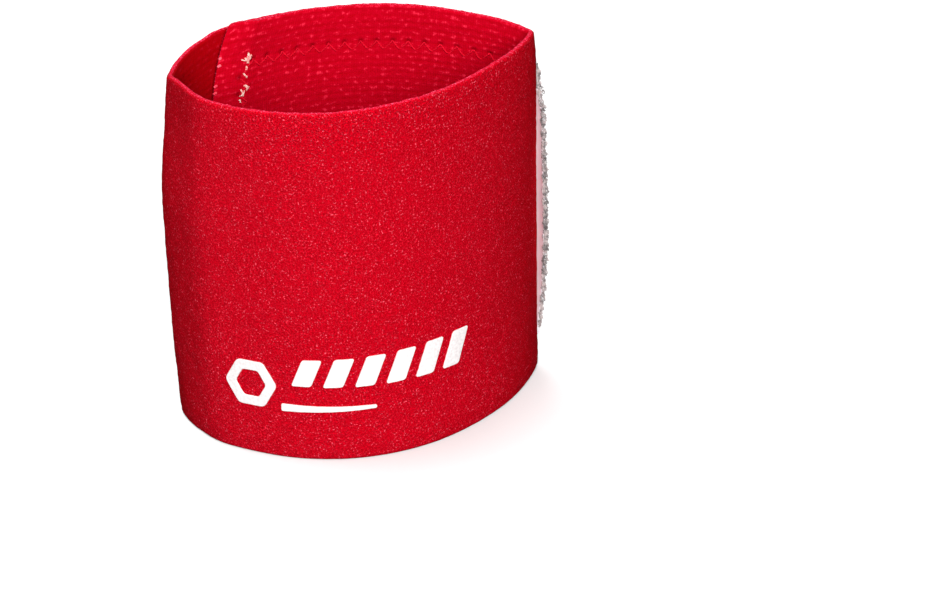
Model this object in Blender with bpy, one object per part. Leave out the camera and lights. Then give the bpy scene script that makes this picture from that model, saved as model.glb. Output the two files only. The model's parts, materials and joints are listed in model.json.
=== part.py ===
"""Wide elastic wrist band that closes on itself with a hook patch.

One strap of elastic webbing stands on edge and runs round a loop: from the free end that carries
the hook patch, along the back, round the tight fold at +X, along the front, round the open bend at
-X and over the outside of the hook patch.  Units are metres and +Z is up.  The origin is at the
middle of the box round the whole band, at the height of its lower edge.
"""
import math

import bpy
import bmesh
import numpy as np

# ---- driving dimensions -------------------------------------------------------------------
STRAP_WIDTH = 0.075          # the webbing's width, which stands vertical
STRAP_THICKNESS = 0.0019
LOOP_HALF_LENGTH = 0.03776   # half the distance from the open bend to the fold
FRONT_DEPTH = 0.02902        # how far the front wall bows towards -Y
FRONT_POWERS = (0.678, 0.814)
BACK_DEPTH = 0.02354         # how far the back wall bows towards +Y
BACK_POWERS = (0.736, 0.755)
CORNER_ROUNDING = 0.0009     # spread of the smoothing that rounds the bend

HOOK_END_REACH = 0.0695      # from the fold to the cut end that carries the patch
OVERLAP = 0.037              # how much of that end the closing flap covers
NEST_RAMP = 0.031            # length over which the hook end sinks inside the flap
HOOK_END_RISE = 0.0022       # how much higher than the rest the nested stretch sits
HOOK_END_SLANT = 0.004       # how much further the cut end's lower corner reaches

TAPE_THICKNESS = 0.0005
HOOK_HEIGHT = 0.0012
TAPE_INSET = 0.0035          # from the strap's cut end to the hook tape
TAPE_PAST_FOLD = 0.0031      # the tape's free edge beyond the fold
TAPE_TOP_MARGIN = 0.0062
TAPE_BOTTOM_MARGIN = 0.0070
TAPE_CORNER_CUT = 0.0026     # how far the free edge's corners draw back
SELVEDGE = 0.0030            # bare woven border above and below the hooks
HOOK_INSET = 0.0032          # bare stretch under the column of stitches at each end
HOOK_STRIP = 0.0085          # the narrow field beyond the column nearest the fold

THREAD_RADIUS = 0.00021
STITCH_PITCH = 0.0034
STITCH_SWING = 0.0013        # half the width of the zigzag
TACK_SIZE = (0.0016, 0.0042, 0.0005)

FILM_THICKNESS = 0.00025
MARK_LEFT = -0.0290          # where the printed mark starts along X
MARK_HEIGHT = 0.0192         # height of the row of bars at their middle
BAR_SIZE = (0.0040, 0.0058)  # width and height of the first bar
BAR_GROWTH = 0.05
BAR_SLANT = 0.42
BAR_COUNT = 6
BAR_SPACING = 0.0063
RING_RADII = (0.0056, 0.0033)
RING_SIDES = 6
RULE_SIZE = (0.0190, 0.0016)

CLEARANCE = 0.0003           # between separate pieces that face each other at a joint
CONTACT_GAP = 0.00012        # between pieces that lie against each other

NEST_DEPTH = STRAP_THICKNESS + HOOK_HEIGHT + TAPE_THICKNESS + 3 * CONTACT_GAP
STATION_SPACING = 0.0024


# ---- the loop's outline -------------------------------------------------------------------
def wall_depth(u, depth, powers):
    """Depth of a wall at fraction u of the way from the open bend to the fold."""
    p, q = powers
    peak = (p / (p + q)) ** p * (q / (p + q)) ** q
    return depth * u ** p * (1 - u) ** q / peak


def resample(points, spacing):
    steps = np.hypot(*np.diff(points, axis=0).T)
    travelled = np.concatenate([[0], np.cumsum(steps)])
    count = int(round(travelled[-1] / spacing)) + 1
    wanted = np.linspace(0, travelled[-1], count)
    return wanted, np.stack([np.interp(wanted, travelled, points[:, k]) for k in (0, 1)], 1)


def loop_outline():
    """Outer face of the strap, from the fold along the front, the open bend and the back."""
    u = (1 + np.cos(np.linspace(0, math.pi, 600))) / 2
    x = LOOP_HALF_LENGTH * (2 * u - 1)
    front = np.stack([x, -wall_depth(u, FRONT_DEPTH, FRONT_POWERS)], 1)
    back = np.stack([x, wall_depth(u, BACK_DEPTH, BACK_POWERS)], 1)[::-1]
    spacing = 0.0002
    _, points = resample(np.concatenate([front, back[1:]]), spacing)
    reach = int(4 * CORNER_ROUNDING / spacing)
    kernel = np.exp(-0.5 * (np.arange(-reach, reach + 1) * spacing / CORNER_ROUNDING) ** 2)
    kernel /= kernel.sum()
    before = 2 * points[0] - points[reach:0:-1]
    after = 2 * points[-1] - points[-2:-reach - 2:-1]
    padded = np.concatenate([before, points, after])
    smooth = np.stack([np.convolve(padded[:, k], kernel, "valid") for k in (0, 1)], 1)
    return resample(smooth, spacing)


ARC, OUTLINE = loop_outline()
LOOP_LENGTH = ARC[-1]
BEND_ARC = ARC[OUTLINE[:, 0].argmin()]
HEADING = np.gradient(OUTLINE, ARC, axis=0)
HEADING /= np.hypot(*HEADING.T)[:, None]


def outline_at(arc):
    """Point on the outline and the unit normal that points into the loop.

    Beyond either end the outline carries on straight.
    """
    inside = min(max(arc, ARC[0]), ARC[-1])
    point = np.array([np.interp(inside, ARC, OUTLINE[:, k]) for k in (0, 1)])
    heading = np.array([np.interp(inside, ARC, HEADING[:, k]) for k in (0, 1)])
    heading /= np.hypot(*heading)
    return point + heading * (arc - inside), np.array([heading[1], -heading[0]])


def smooth_step(value):
    value = min(max(value, 0.0), 1.0)
    return value * value * (3 - 2 * value)


def nest(arc):
    """Share of the full nesting depth at a place on the back wall."""
    return smooth_step((LOOP_LENGTH - arc) / NEST_RAMP)


def hook_end_place(arc, height, depth):
    """Corner of a piece on the hook end.

    The height runs from the strap's lower edge, and the depth inward from its outer face.
    """
    share = max(LOOP_LENGTH - arc, 0.0) / HOOK_END_REACH
    arc -= HOOK_END_SLANT * share ** 2 * (1 - height / STRAP_WIDTH)
    point, normal = outline_at(arc)
    point = point + normal * (NEST_DEPTH * nest(arc) + depth)
    return (*point, height + HOOK_END_RISE * nest(arc))


def fold_lean(distance):
    """How far a cross-section leans towards the mitre, at a distance from the fold's corner."""
    return smooth_step(1 - distance / (3 * STRAP_THICKNESS))


FOLD_POINT = OUTLINE[0]
BEND_POINT, _ = outline_at(BEND_ARC)
FOLD_MITRE = np.array([-1.0, 0.0])


# ---- mesh helpers -------------------------------------------------------------------------
def new_material(name, colour, roughness, metallic=0.0):
    material = bpy.data.materials.new(name)
    material.use_nodes = True
    shader = material.node_tree.nodes["Principled BSDF"]
    shader.inputs["Base Color"].default_value = (*colour, 1.0)
    shader.inputs["Roughness"].default_value = roughness
    shader.inputs["Metallic"].default_value = metallic
    return material


def new_piece(name, mesh, material, parent):
    """Link a mesh built in world coordinates, with its origin on its parent's axis."""
    for vertex in mesh.verts:
        vertex.co -= parent.location
    bmesh.ops.recalc_face_normals(mesh, faces=mesh.faces)
    data = bpy.data.meshes.new(name)
    mesh.to_mesh(data)
    mesh.free()
    data.materials.append(material)
    piece = bpy.data.objects.new(name, data)
    bpy.context.collection.objects.link(piece)
    piece.parent = parent
    return piece


def loft(sections):
    """Closed solid through a list of rings of corners, with flat ends."""
    mesh = bmesh.new()
    rings = [[mesh.verts.new(corner) for corner in section] for section in sections]
    count = len(rings[0])
    for ring, following in zip(rings, rings[1:]):
        for k in range(count):
            mesh.faces.new((ring[k], ring[(k + 1) % count], following[(k + 1) % count], following[k]))
    mesh.faces.new(rings[0])
    mesh.faces.new(rings[-1][::-1])
    return mesh


def stations(start, end, spacing=STATION_SPACING):
    count = max(2, int(math.ceil(abs(end - start) / spacing)) + 1)
    return np.linspace(start, end, count)


def wall_section(outer, inner, low, high):
    return [(*outer, low), (*outer, high), (*inner, high), (*inner, low)]


# ---- the strap ----------------------------------------------------------------------------
def leaning_inner(outer, normal, distance):
    """Inner corner of a strap section that turns to meet its neighbour at the fold."""
    lean = fold_lean(distance)
    direction = (1 - lean) * normal + lean * FOLD_MITRE
    direction /= np.hypot(*direction)
    return outer + direction * STRAP_THICKNESS / max(direction @ normal, 0.5)


def make_front_panel(material, parent):
    sections = []
    for arc in stations(CLEARANCE / 2, BEND_ARC - CLEARANCE / 2):
        outer, normal = outline_at(arc)
        sections.append(wall_section(outer, leaning_inner(outer, normal, arc), 0, STRAP_WIDTH))
    return new_piece("strap_front_panel", loft(sections), material, parent)


def make_closing_flap(material, parent):
    sections = []
    end = LOOP_LENGTH - HOOK_END_REACH + OVERLAP
    for arc in stations(BEND_ARC + CLEARANCE / 2, end):
        outer, normal = outline_at(arc)
        sections.append(wall_section(outer, outer + normal * STRAP_THICKNESS, 0, STRAP_WIDTH))
    return new_piece("strap_closing_flap", loft(sections), material, parent)


def make_hook_end(material, parent):
    sections = []
    for arc in stations(LOOP_LENGTH - CLEARANCE / 2, LOOP_LENGTH - HOOK_END_REACH):
        _, normal = outline_at(arc)
        section = []
        for height, inside in ((0, 0), (STRAP_WIDTH, 0), (STRAP_WIDTH, 1), (0, 1)):
            *corner, z = hook_end_place(arc, height, 0)
            if inside:
                corner = leaning_inner(np.array(corner), normal, LOOP_LENGTH - arc)
            section.append((*corner, z))
        sections.append(section)
    return new_piece("strap_hook_end", loft(sections), material, parent)


# ---- the hook patch -----------------------------------------------------------------------
TAPE_START = LOOP_LENGTH - HOOK_END_REACH + TAPE_INSET
TAPE_END = LOOP_LENGTH + TAPE_PAST_FOLD


def patch_solid(start, end, inward, outward, low_margin, high_margin, corner_cut=0.0):
    """Sheet on the hook end's outer face between two depths, its far corners drawn back."""
    rows = 9 if corner_cut else 2
    mesh = bmesh.new()
    grid = []
    for arc in stations(start, end):
        share = (arc - start) / (end - start)
        column = []
        for k in range(rows):
            height_share = k / (rows - 1)
            bow = corner_cut * (2 * height_share - 1) ** 2 * share
            height = low_margin + (STRAP_WIDTH - high_margin - low_margin) * height_share
            column.append([mesh.verts.new(hook_end_place(arc - bow, height, -depth))
                           for depth in (inward, outward)])
        grid.append(column)
    for left, right in zip(grid, grid[1:]):
        for k in range(rows - 1):
            for side in (0, 1):
                mesh.faces.new((left[k][side], right[k][side], right[k + 1][side], left[k + 1][side]))
        for k in (0, rows - 1):
            mesh.faces.new((left[k][0], left[k][1], right[k][1], right[k][0]))
    for column in (grid[0], grid[-1]):
        for k in range(rows - 1):
            mesh.faces.new((column[k][0], column[k][1], column[k + 1][1], column[k + 1][0]))
    return mesh


def make_hook_patch(tape_material, hook_material, parent):
    base = CONTACT_GAP
    top = base + TAPE_THICKNESS
    tape = patch_solid(TAPE_START, TAPE_END, base, top,
                       TAPE_BOTTOM_MARGIN, TAPE_TOP_MARGIN, TAPE_CORNER_CUT)
    new_piece("hook_tape", tape, tape_material, parent)
    strip_start = TAPE_END - HOOK_STRIP
    hooks_low = top + CONTACT_GAP
    hooks_high = hooks_low + HOOK_HEIGHT - CONTACT_GAP
    margins = (TAPE_BOTTOM_MARGIN + SELVEDGE, TAPE_TOP_MARGIN + SELVEDGE)
    field = patch_solid(TAPE_START + HOOK_INSET, strip_start - HOOK_INSET,
                        hooks_low, hooks_high, *margins)
    new_piece("hook_field", field, hook_material, parent)
    strip = patch_solid(strip_start, TAPE_END, hooks_low, hooks_high, *margins, TAPE_CORNER_CUT / 2)
    new_piece("hook_edge_strip", strip, hook_material, parent)


# ---- the stitching ------------------------------------------------------------------------
def zigzag(start, end):
    """Turning points of a zigzag along one direction: distance along and swing to the side."""
    count = int((end - start) / (STITCH_PITCH / 2))
    for k in range(count + 1):
        yield start + (end - start) * k / count, STITCH_SWING * (1 if k % 2 else -1)


def thread_tube(path):
    """Thread of square section along a path on the wall, mitred at every turn.

    The path is a list of (arc, height, depth) on the hook end's outer face.
    """
    centres = [np.array(hook_end_place(arc, height, depth)) for arc, height, depth in path]
    sections = []
    for k, centre in enumerate(centres):
        before = centres[max(k - 1, 0)]
        after = centres[min(k + 1, len(centres) - 1)]
        along = (after - before) / np.linalg.norm(after - before)
        _, normal = outline_at(path[k][0])
        out = np.array([*-normal, 0.0])
        out -= along * (out @ along)
        out /= np.linalg.norm(out)
        side = np.cross(along, out)
        corners = [out, side, -out, -side]
        sections.append([tuple(centre + THREAD_RADIUS * corner) for corner in corners])
    return loft(sections)


def make_stitch_rows(face, depth, material, parent):
    """The four rows of zigzag round the patch, as seen on one face of the strap."""
    left = TAPE_START + HOOK_INSET / 2
    right = TAPE_END - HOOK_STRIP - HOOK_INSET / 2
    top = STRAP_WIDTH - TAPE_TOP_MARGIN - SELVEDGE / 2
    bottom = TAPE_BOTTOM_MARGIN + SELVEDGE / 2
    for name, height in (("top", top), ("bottom", bottom)):
        path = [(arc, height + swing, depth) for arc, swing in zigzag(left, right)]
        new_piece(f"stitch_{face}_{name}", thread_tube(path), material, parent)
    end_room = 2 * STITCH_SWING + 4 * THREAD_RADIUS
    for name, arc in (("cut_end", left), ("fold_end", right)):
        path = [(arc + swing, height, depth)
                for height, swing in zigzag(bottom + end_room, top - end_room)]
        new_piece(f"stitch_{face}_{name}", thread_tube(path), material, parent)
    return left, top, bottom


def make_back_tacks(left, top, bottom, material, parent):
    """Small dense bars of thread inside the band, where the seam starts and ends."""
    width, height, thickness = TACK_SIZE
    face = STRAP_THICKNESS + CONTACT_GAP + 2 * THREAD_RADIUS + CONTACT_GAP
    for name, middle in (("upper", top - 2.2 * height), ("lower", bottom + 2.2 * height)):
        sections = []
        for arc in stations(left - width / 2, left + width / 2):
            sections.append([hook_end_place(arc, middle + rise * height / 2, face + inward * thickness)
                             for rise, inward in ((-1, 0), (1, 0), (1, 1), (-1, 1))])
        new_piece(f"back_tack_{name}", loft(sections), material, parent)


# ---- the printed mark ---------------------------------------------------------------------
def front_arc_at(x):
    """Arc position on the front wall at a given X."""
    front = ARC < BEND_ARC
    return float(np.interp(-x, -OUTLINE[front, 0], ARC[front]))


def film_point(along, z, level):
    """Corner of a film piece: distance along the wall from the mark's left end, and height."""
    point, normal = outline_at(MARK_ARC - along)
    return (*(point - normal * (CONTACT_GAP + level * FILM_THICKNESS)), z)


MARK_ARC = front_arc_at(MARK_LEFT)


def make_bar(index, material, parent):
    """Slanted bar, each a little taller than the one before."""
    grow = 1 + BAR_GROWTH * index
    width, height = BAR_SIZE[0], BAR_SIZE[1] * grow
    first = RING_RADII[0] * 2 + 0.0030
    left = first + BAR_SPACING * index
    sections = []
    for share in np.linspace(0, 1, 5):
        low = MARK_HEIGHT - height / 2
        high = MARK_HEIGHT + height / 2
        lean = BAR_SLANT * height
        at_low = left + width * share
        at_high = at_low + lean
        sections.append([film_point(at_low, low, 0), film_point(at_low, low, 1),
                         film_point(at_high, high, 1), film_point(at_high, high, 0)])
    new_piece(f"print_bar_{index + 1}", loft(sections), material, parent)


def make_ring(material, parent):
    """Hexagonal ring at the left end of the mark."""
    outer, inner = RING_RADII
    middle_z = MARK_HEIGHT - 0.0035
    mesh = bmesh.new()
    corners = []
    per_side = 3
    for k in range(RING_SIDES * per_side):
        side, share = divmod(k, per_side)
        share /= per_side
        turn = 2 * math.pi / RING_SIDES
        here = np.array([math.cos(side * turn), math.sin(side * turn)])
        there = np.array([math.cos((side + 1) * turn), math.sin((side + 1) * turn)])
        direction = here * (1 - share) + there * share
        corners.append([mesh.verts.new(film_point(outer + radius * direction[0],
                                                  middle_z + radius * direction[1], level))
                        for radius, level in ((outer, 0), (outer, 1), (inner, 1), (inner, 0))])
    for here, there in zip(corners, corners[1:] + corners[:1]):
        for k in range(4):
            mesh.faces.new((here[k], here[(k + 1) % 4], there[(k + 1) % 4], there[k]))
    new_piece("print_ring", mesh, material, parent)


def make_rule(material, parent):
    """Thin tapering line under the bars."""
    length, height = RULE_SIZE
    left = RING_RADII[0] * 2 + 0.0008
    z = MARK_HEIGHT - 0.0078
    sections = []
    for share in np.linspace(0, 1, 10):
        along = left + length * share
        half = height / 2 * (1 - 0.55 * share)
        sections.append([film_point(along, z - half, 0), film_point(along, z - half, 1),
                         film_point(along, z + half, 1), film_point(along, z + half, 0)])
    new_piece("print_rule", loft(sections), material, parent)


# ---- assembly -----------------------------------------------------------------------------
def new_axis(name, place):
    axis = bpy.data.objects.new(name, None)
    axis.location = (*place, 0.0)
    bpy.context.collection.objects.link(axis)
    return axis


def centre_on_origin(axes):
    """Move the three axes so that the whole band's box is centred over the origin."""
    bpy.context.view_layer.update()
    corners = [piece.matrix_world @ vertex.co for piece in bpy.data.objects
               if piece.type == "MESH" for vertex in piece.data.vertices]
    for k in (0, 1):
        middle = (min(c[k] for c in corners) + max(c[k] for c in corners)) / 2
        for axis in axes:
            axis.location[k] -= middle


def build():
    for old in list(bpy.data.objects):
        bpy.data.objects.remove(old, do_unlink=True)
    webbing = new_material("red_webbing", (0.62, 0.005, 0.020), 0.9)
    tape = new_material("white_tape", (0.78, 0.70, 0.70), 0.7)
    hooks = new_material("white_hooks", (0.70, 0.66, 0.66), 0.5)
    thread = new_material("red_thread", (0.66, 0.01, 0.03), 0.6)
    pale_thread = new_material("white_thread", (0.85, 0.62, 0.60), 0.6)
    film = new_material("white_film", (0.92, 0.90, 0.90), 0.45)

    front = new_axis("front_frame", (0.0, 0.0))
    flap_axis = new_axis("flap_axis", BEND_POINT)
    fold_axis = new_axis("fold_axis", FOLD_POINT)
    make_front_panel(webbing, front)
    make_closing_flap(webbing, flap_axis)
    make_hook_end(webbing, fold_axis)
    make_hook_patch(tape, hooks, fold_axis)
    needle_depth = -(CONTACT_GAP + TAPE_THICKNESS + CONTACT_GAP + THREAD_RADIUS)
    make_stitch_rows("outside", needle_depth, thread, fold_axis)
    bobbin_depth = STRAP_THICKNESS + CONTACT_GAP + THREAD_RADIUS
    left, top, bottom = make_stitch_rows("inside", bobbin_depth, thread, fold_axis)
    make_back_tacks(left, top, bottom, pale_thread, fold_axis)
    make_ring(film, front)
    make_rule(film, front)
    for index in range(BAR_COUNT):
        make_bar(index, film, front)
    centre_on_origin((front, flap_axis, fold_axis))


build()
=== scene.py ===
import json
import math

import bmesh
import bpy
import numpy as np
from mathutils import Matrix, Vector


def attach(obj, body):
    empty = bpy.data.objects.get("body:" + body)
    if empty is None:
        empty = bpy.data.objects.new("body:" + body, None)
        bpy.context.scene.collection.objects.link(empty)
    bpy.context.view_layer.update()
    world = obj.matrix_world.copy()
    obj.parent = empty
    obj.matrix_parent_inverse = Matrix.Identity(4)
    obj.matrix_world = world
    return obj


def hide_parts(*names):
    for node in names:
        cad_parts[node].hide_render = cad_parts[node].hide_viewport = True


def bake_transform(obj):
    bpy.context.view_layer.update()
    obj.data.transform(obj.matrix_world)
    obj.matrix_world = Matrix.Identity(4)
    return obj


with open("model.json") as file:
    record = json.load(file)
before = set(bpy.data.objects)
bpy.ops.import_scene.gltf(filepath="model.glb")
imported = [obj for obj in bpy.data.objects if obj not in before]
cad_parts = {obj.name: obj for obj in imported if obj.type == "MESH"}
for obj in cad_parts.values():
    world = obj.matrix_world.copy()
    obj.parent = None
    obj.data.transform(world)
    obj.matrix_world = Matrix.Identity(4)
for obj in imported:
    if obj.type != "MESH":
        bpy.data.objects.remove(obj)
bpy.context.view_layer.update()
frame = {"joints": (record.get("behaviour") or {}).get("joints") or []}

# Lengths are metres.  The strap's own coordinates are the arc along its outer face, starting at the
# tight fold and running along the front, round the open bend and along the back, and the height
# above its lower edge.  Along the inner end, which carries the hooks, the distance from the fold is
# used instead, negative on the front wall.

# ---- driving dimensions, the same as the CAD model's ----
STRAP_WIDTH = 0.075
STRAP_THICKNESS = 0.0019
LOOP_HALF_LENGTH = 0.03776
FRONT_DEPTH, FRONT_POWERS = 0.02902, (0.678, 0.814)
BACK_DEPTH, BACK_POWERS = 0.02354, (0.736, 0.755)
CORNER_ROUNDING = 0.0009
HOOK_END_REACH = 0.0695
OVERLAP = 0.037
NEST_RAMP = 0.031
HOOK_END_RISE = 0.0022
TAPE_THICKNESS = 0.0005
HOOK_HEIGHT = 0.0012
TAPE_INSET = 0.0035
TAPE_PAST_FOLD = 0.0031
TAPE_TOP_MARGIN = 0.0062
TAPE_BOTTOM_MARGIN = 0.0070
SELVEDGE = 0.0030
HOOK_INSET = 0.0032
HOOK_STRIP = 0.0085
THREAD_RADIUS = 0.00021
STITCH_PITCH = 0.0034
STITCH_SWING = 0.00085
STITCH_DROP = 0.0007         # of the top row, below the middle of the tape's selvedge
CONTACT_GAP = 0.00012
FILM_THICKNESS = 0.00025
NEST_DEPTH = STRAP_THICKNESS + HOOK_HEIGHT + TAPE_THICKNESS + 3 * CONTACT_GAP
MM = 0.001

# ---- the looks' own dimensions ----
SPLIT = 0.0095               # where the two strap pieces meet, on the front wall near the fold
EDGE_RADIUS = 0.00065        # rounding of the strap's selvedges
EDGE_PINCH = 0.70            # share of the thickness left at the selvedges
CUT_PINCH = 0.45             # share of the thickness left at the cut ends
ROW_SPACING = 0.00046        # between cross-sections along the strap
LAST_ROWS = np.array([0.4, 0.22, 0.1, 0.04, 0.0]) * MM       # cross-sections at the rounded cut
PROFILE_STEPS = (0.00048, 0.00032)       # between corners on the pile and on the ribs
BEND_BLEND = ((-0.12, 0.993), 0.0085)    # the strap's heading at the bend, and half the bend's length
FOLD_BLEND = ((0.0, 1.0), 0.004)
RIB_PITCH = 0.00135
RIB_DEPTH = 0.00013
FLAP_PAINTED_SHADE = (-0.008, 0.004)   # where painted shade darkens the ribs towards the flap, from the open bend
PILE_DEPTH = 0.00006
CUT_SLANT = (0.0004, 0.0074, 0.0095)   # how the cut end runs on below its top corner
CUT_SETTLE = 0.0017          # how far the cut end settles towards the flap
SETTLE_REACH = 0.0062        # over this length, from the tape's bare selvedge to the cut
# How much wider the elastic stands than it was cut, past the open bend and from the fold.
BEND_TOP_AT = np.array([-12, -5, 0, 5, 10, 17, 22, 28, 60]) * MM
BEND_TOP_GROWTH = np.array([0, -1.5, -8.5, -13.5, -11.0, -4.5, 6.5, 7.5, 0]) * MM
INNER_TOP_AT = np.array([0, 20, 40, 58, 63, 67, 69.5]) * MM
INNER_TOP_GROWTH = np.array([0, 0, -4.0, -4.0, -1.6, 1.5, -4.0]) * MM
SEAM_FROM_CUT = 0.0052       # the pale seam column, from the cut end
TACK_RADIUS, YARN_RADIUS = 0.00011, 0.00031
SHOWN_YARNS = np.array([46, 47, 50, 51]) * RIB_PITCH   # yarns that stand out at the cut
MARK_ARC = 0.08202           # where the printed mark starts on the front wall
MARK_HEIGHT = 0.0192
BAR_SIZE = (0.0040, 0.0058)
BAR_GROWTH = 0.05
BAR_SLANT = 0.42
BAR_COUNT = 6
BAR_SPACING = 0.0063
BAR_GAP = 0.0030             # from the ring to the first bar
RING_RADII = (0.0056, 0.0033)
RING_DROP = 0.0035           # of the ring's middle, below the bars' middle
RULE_SIZE = (0.0190, 0.0016)
RULE_GAP, RULE_DROP = 0.0008, 0.0078
RULE_TAPER = 0.45            # thickness left at the rule's tip
CORNER_RADII = (0.0009, 0.0006, 0.0004)      # of the film ring, bars and rule
HOOK_PITCH = 0.00112
HOOK_RADIUS = 0.00009
HOOK_BEND = 0.0011           # how far a hook would reach sideways
WEAVE_PITCH = 0.0006
TUFT_PITCH = 0.00036         # between bunches of filament along the tape's free edge
TUFT_SIZE = (0.00028, 0.00044, 0.00012)      # least, more where the edge waves out, and at random
# How far past the fold the tape's free edge stands at each height, as a share of the CAD tape's.
TAPE_EDGE_AT = np.array([7, 9, 18, 31, 38, 47, 54, 58, 61.5, 64, 67]) * MM
TAPE_EDGE = np.array([-0.15, -0.05, 0.55, 1.10, 1.20, 1.08, 0.85, 0.70, 0.20, -0.10, -0.25])
TAPE_CURL = 0.00035          # of the tape's free edge, towards the inside

# ---- how the cloth stands away from the CAD wall ----
BEND_SPREAD = (0.017, 0.010)             # width of the drawn-in stretch, before and past the bend
BEND_DRAWN = (0.0023, 0.0014, -0.0001)   # how far it is drawn in at the top, foot and middle
# Swells before the bend: distance from it, width, and the swell all over, at the top and at the foot.
SWELLS = ((0.0155, 0.0065, 0.0010, 0.0, -0.0001),
          (0.026, 0.008, 0.0, 0.0005, 0.0),
          (0.006, 0.006, 0.0, 0.0, 0.0006))
TOP_FROM, FOOT_TO = 0.046, 0.020         # heights where the top's share begins and the foot's ends
FOOT_FLARE, FLARE_REACH = 0.0006, 0.02   # the front's foot stands out, fading at the fold
WAVE_DEPTH, WAVE_CELL = 0.00022, 0.021
INNER_WAVE_DEPTH, INNER_WAVE_CELL = 0.00018, 0.019
FOLD_LEAN_AT = np.array([0, 11, 21, 37, 49, 54, 63, 71, 75]) * MM
FOLD_LEAN = np.array([-0.6, -0.6, -0.4, -0.2, 0.05, 0.3, 0.6, 0.8, 0.8]) * MM
FOLD_LEAN_REACH = 0.016
FOOT_RISE = 0.35             # share of the nested end's rise that its foot has
SELVEDGE_TAPER, CUT_TAPER = 0.0034, 0.0028   # lengths over which the cloth thins
CUT_ROUND = 0.0006           # rounding of the cut end
NEEDLE_RADIUS = 0.00054      # of the dimples at the stitches
NEEDLE_DEPTH = 0.00045


def joint(name):
    return next(j for j in frame["joints"] if j["name"] == name)


# ---- the loop's outline ----
def wall_depth(u, depth, powers):
    p, q = powers
    peak = (p / (p + q)) ** p * (q / (p + q)) ** q
    return depth * u ** p * (1 - u) ** q / peak


def resample(points, spacing):
    travelled = np.concatenate([[0], np.cumsum(np.hypot(*np.diff(points, axis=0).T))])
    wanted = np.linspace(0, travelled[-1], int(round(travelled[-1] / spacing)) + 1)
    return wanted, np.stack([np.interp(wanted, travelled, points[:, k]) for k in (0, 1)], 1)


def loop_outline():
    """Outer face of the strap from the fold, along the front, round the bend and along the back."""
    u = (1 + np.cos(np.linspace(0, math.pi, 600))) / 2
    x = LOOP_HALF_LENGTH * (2 * u - 1)
    front = np.stack([x, -wall_depth(u, FRONT_DEPTH, FRONT_POWERS)], 1)
    back = np.stack([x, wall_depth(u, BACK_DEPTH, BACK_POWERS)], 1)[::-1]
    spacing = 0.0002
    _, points = resample(np.concatenate([front, back[1:]]), spacing)
    reach = int(4 * CORNER_ROUNDING / spacing)
    kernel = np.exp(-0.5 * (np.arange(-reach, reach + 1) * spacing / CORNER_ROUNDING) ** 2)
    kernel /= kernel.sum()
    before = 2 * points[0] - points[reach:0:-1]
    after = 2 * points[-1] - points[-2:-reach - 2:-1]
    padded = np.concatenate([before, points, after])
    smooth = np.stack([np.convolve(padded[:, k], kernel, "valid") for k in (0, 1)], 1)
    return resample(smooth, spacing)


ARC, OUTLINE = loop_outline()
LOOP_LENGTH = ARC[-1]
BEND_ARC = ARC[OUTLINE[:, 0].argmin()]
BEND_POINT = np.array(joint("flap_peel")["pos_m"][:2])
FOLD_POINT = np.array(joint("hook_end_unfold")["pos_m"][:2])
OUTLINE = OUTLINE + FOLD_POINT - OUTLINE[0]
HEADING = np.gradient(OUTLINE, ARC, axis=0)
HEADING /= np.hypot(*HEADING.T)[:, None]
FLAP_END = LOOP_LENGTH - HOOK_END_REACH + OVERLAP
TAPE_START = HOOK_END_REACH - TAPE_INSET     # both as distances from the fold
TAPE_END = -TAPE_PAST_FOLD


def smooth_step(value):
    value = np.clip(value, 0, 1)
    return value * value * (3 - 2 * value)


def unit(vectors):
    return vectors / np.linalg.norm(vectors, axis=-1)[..., None]


def outline_at(arc):
    """Points on the outline and unit normals into the loop; beyond its ends it runs on straight."""
    inside = np.clip(arc, ARC[0], ARC[-1])
    point = np.stack([np.interp(inside, ARC, OUTLINE[:, k]) for k in (0, 1)], -1)
    heading = np.stack([np.interp(inside, ARC, HEADING[:, k]) for k in (0, 1)], -1)
    heading = unit(heading)
    point = point + heading * (arc - inside)[..., None]
    return point, np.stack([heading[..., 1], -heading[..., 0]], -1)


# ---- shape of the cloth ----
def cloth_noise(u, v, cell, seed):
    """Smooth noise from -1 to 1 over the strap's own coordinates, with features one cell wide."""
    table = np.random.default_rng(seed).uniform(-1, 1, (256, 256))
    a, b = np.asarray(u) / cell + 64, np.asarray(v) / cell + 64
    i, j = np.floor(a).astype(int), np.floor(b).astype(int)
    fa, fb = smooth_step(a - i), smooth_step(b - j)
    i, j = i % 256, j % 256
    i1, j1 = (i + 1) % 256, (j + 1) % 256
    low = table[i, j] * (1 - fa) + table[i1, j] * fa
    high = table[i, j1] * (1 - fa) + table[i1, j1] * fa
    return low * (1 - fb) + high * fb


def lean_into_fold(normal, distance):
    """Turn the inward direction towards the mitre near the fold, longer so the wall stays as thick."""
    lean = smooth_step(1 - distance / (3 * STRAP_THICKNESS))[..., None]
    direction = unit((1 - lean) * normal + lean * np.array([-1.0, 0.0]))
    return direction / np.maximum((direction * normal).sum(-1), 0.5)[..., None]


def sag(arc, height):
    """How far the cloth lies inside the CAD wall: drawn in at the bend, swelling out before it."""
    past_bend = arc - BEND_ARC
    top = smooth_step((height - TOP_FROM) / (STRAP_WIDTH - TOP_FROM))
    foot = smooth_step(1 - height / FOOT_TO)
    belly = np.sin(math.pi * np.clip(height / STRAP_WIDTH, 0, 1))
    share = BEND_DRAWN[0] * top + BEND_DRAWN[1] * foot + BEND_DRAWN[2] * belly
    inside = share * np.exp(-(past_bend / np.where(past_bend < 0, *BEND_SPREAD)) ** 2)
    for before, width, all_over, at_top, at_foot in SWELLS:
        swell = all_over + at_top * top + at_foot * foot
        inside = inside - swell * np.exp(-((past_bend + before) / width) ** 2)
    inside = inside - FOOT_FLARE * foot * smooth_step(arc / FLARE_REACH)
    return inside + WAVE_DEPTH * cloth_noise(arc, height, WAVE_CELL, 3)


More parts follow.
